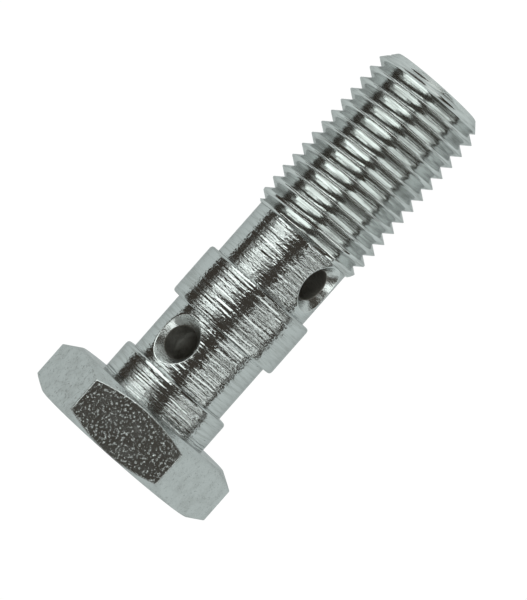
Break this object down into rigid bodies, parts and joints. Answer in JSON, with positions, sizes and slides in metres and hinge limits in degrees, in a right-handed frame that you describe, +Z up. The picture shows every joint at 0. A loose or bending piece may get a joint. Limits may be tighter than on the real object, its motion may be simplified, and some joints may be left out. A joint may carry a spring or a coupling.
{
  "type": "banjo bolt",
  "caption": "Double banjo bolt: hexagon head, plain shoulder, two relieved necks with cross holes, a collar between them and a fine-threaded end, with a blind fluid bore from the tip.",
  "frame": {"origin": "centre of the bearing face under the hexagon head, on the bolt's axis", "axes": "+X along the bolt's axis from the head to the threaded tip; +Z up, square to two flats of the hexagon, one of which lies at the bottom; +Y completes the right-handed set"},
  "size_m": [0.0353, 0.016, 0.014],
  "materials": {
    "plated_steel": "bright plated steel with fine turning rings"
  },
  "bodies": {
    "root": {"banjo_bolt": "plated_steel"}
  },
  "joints": []
}
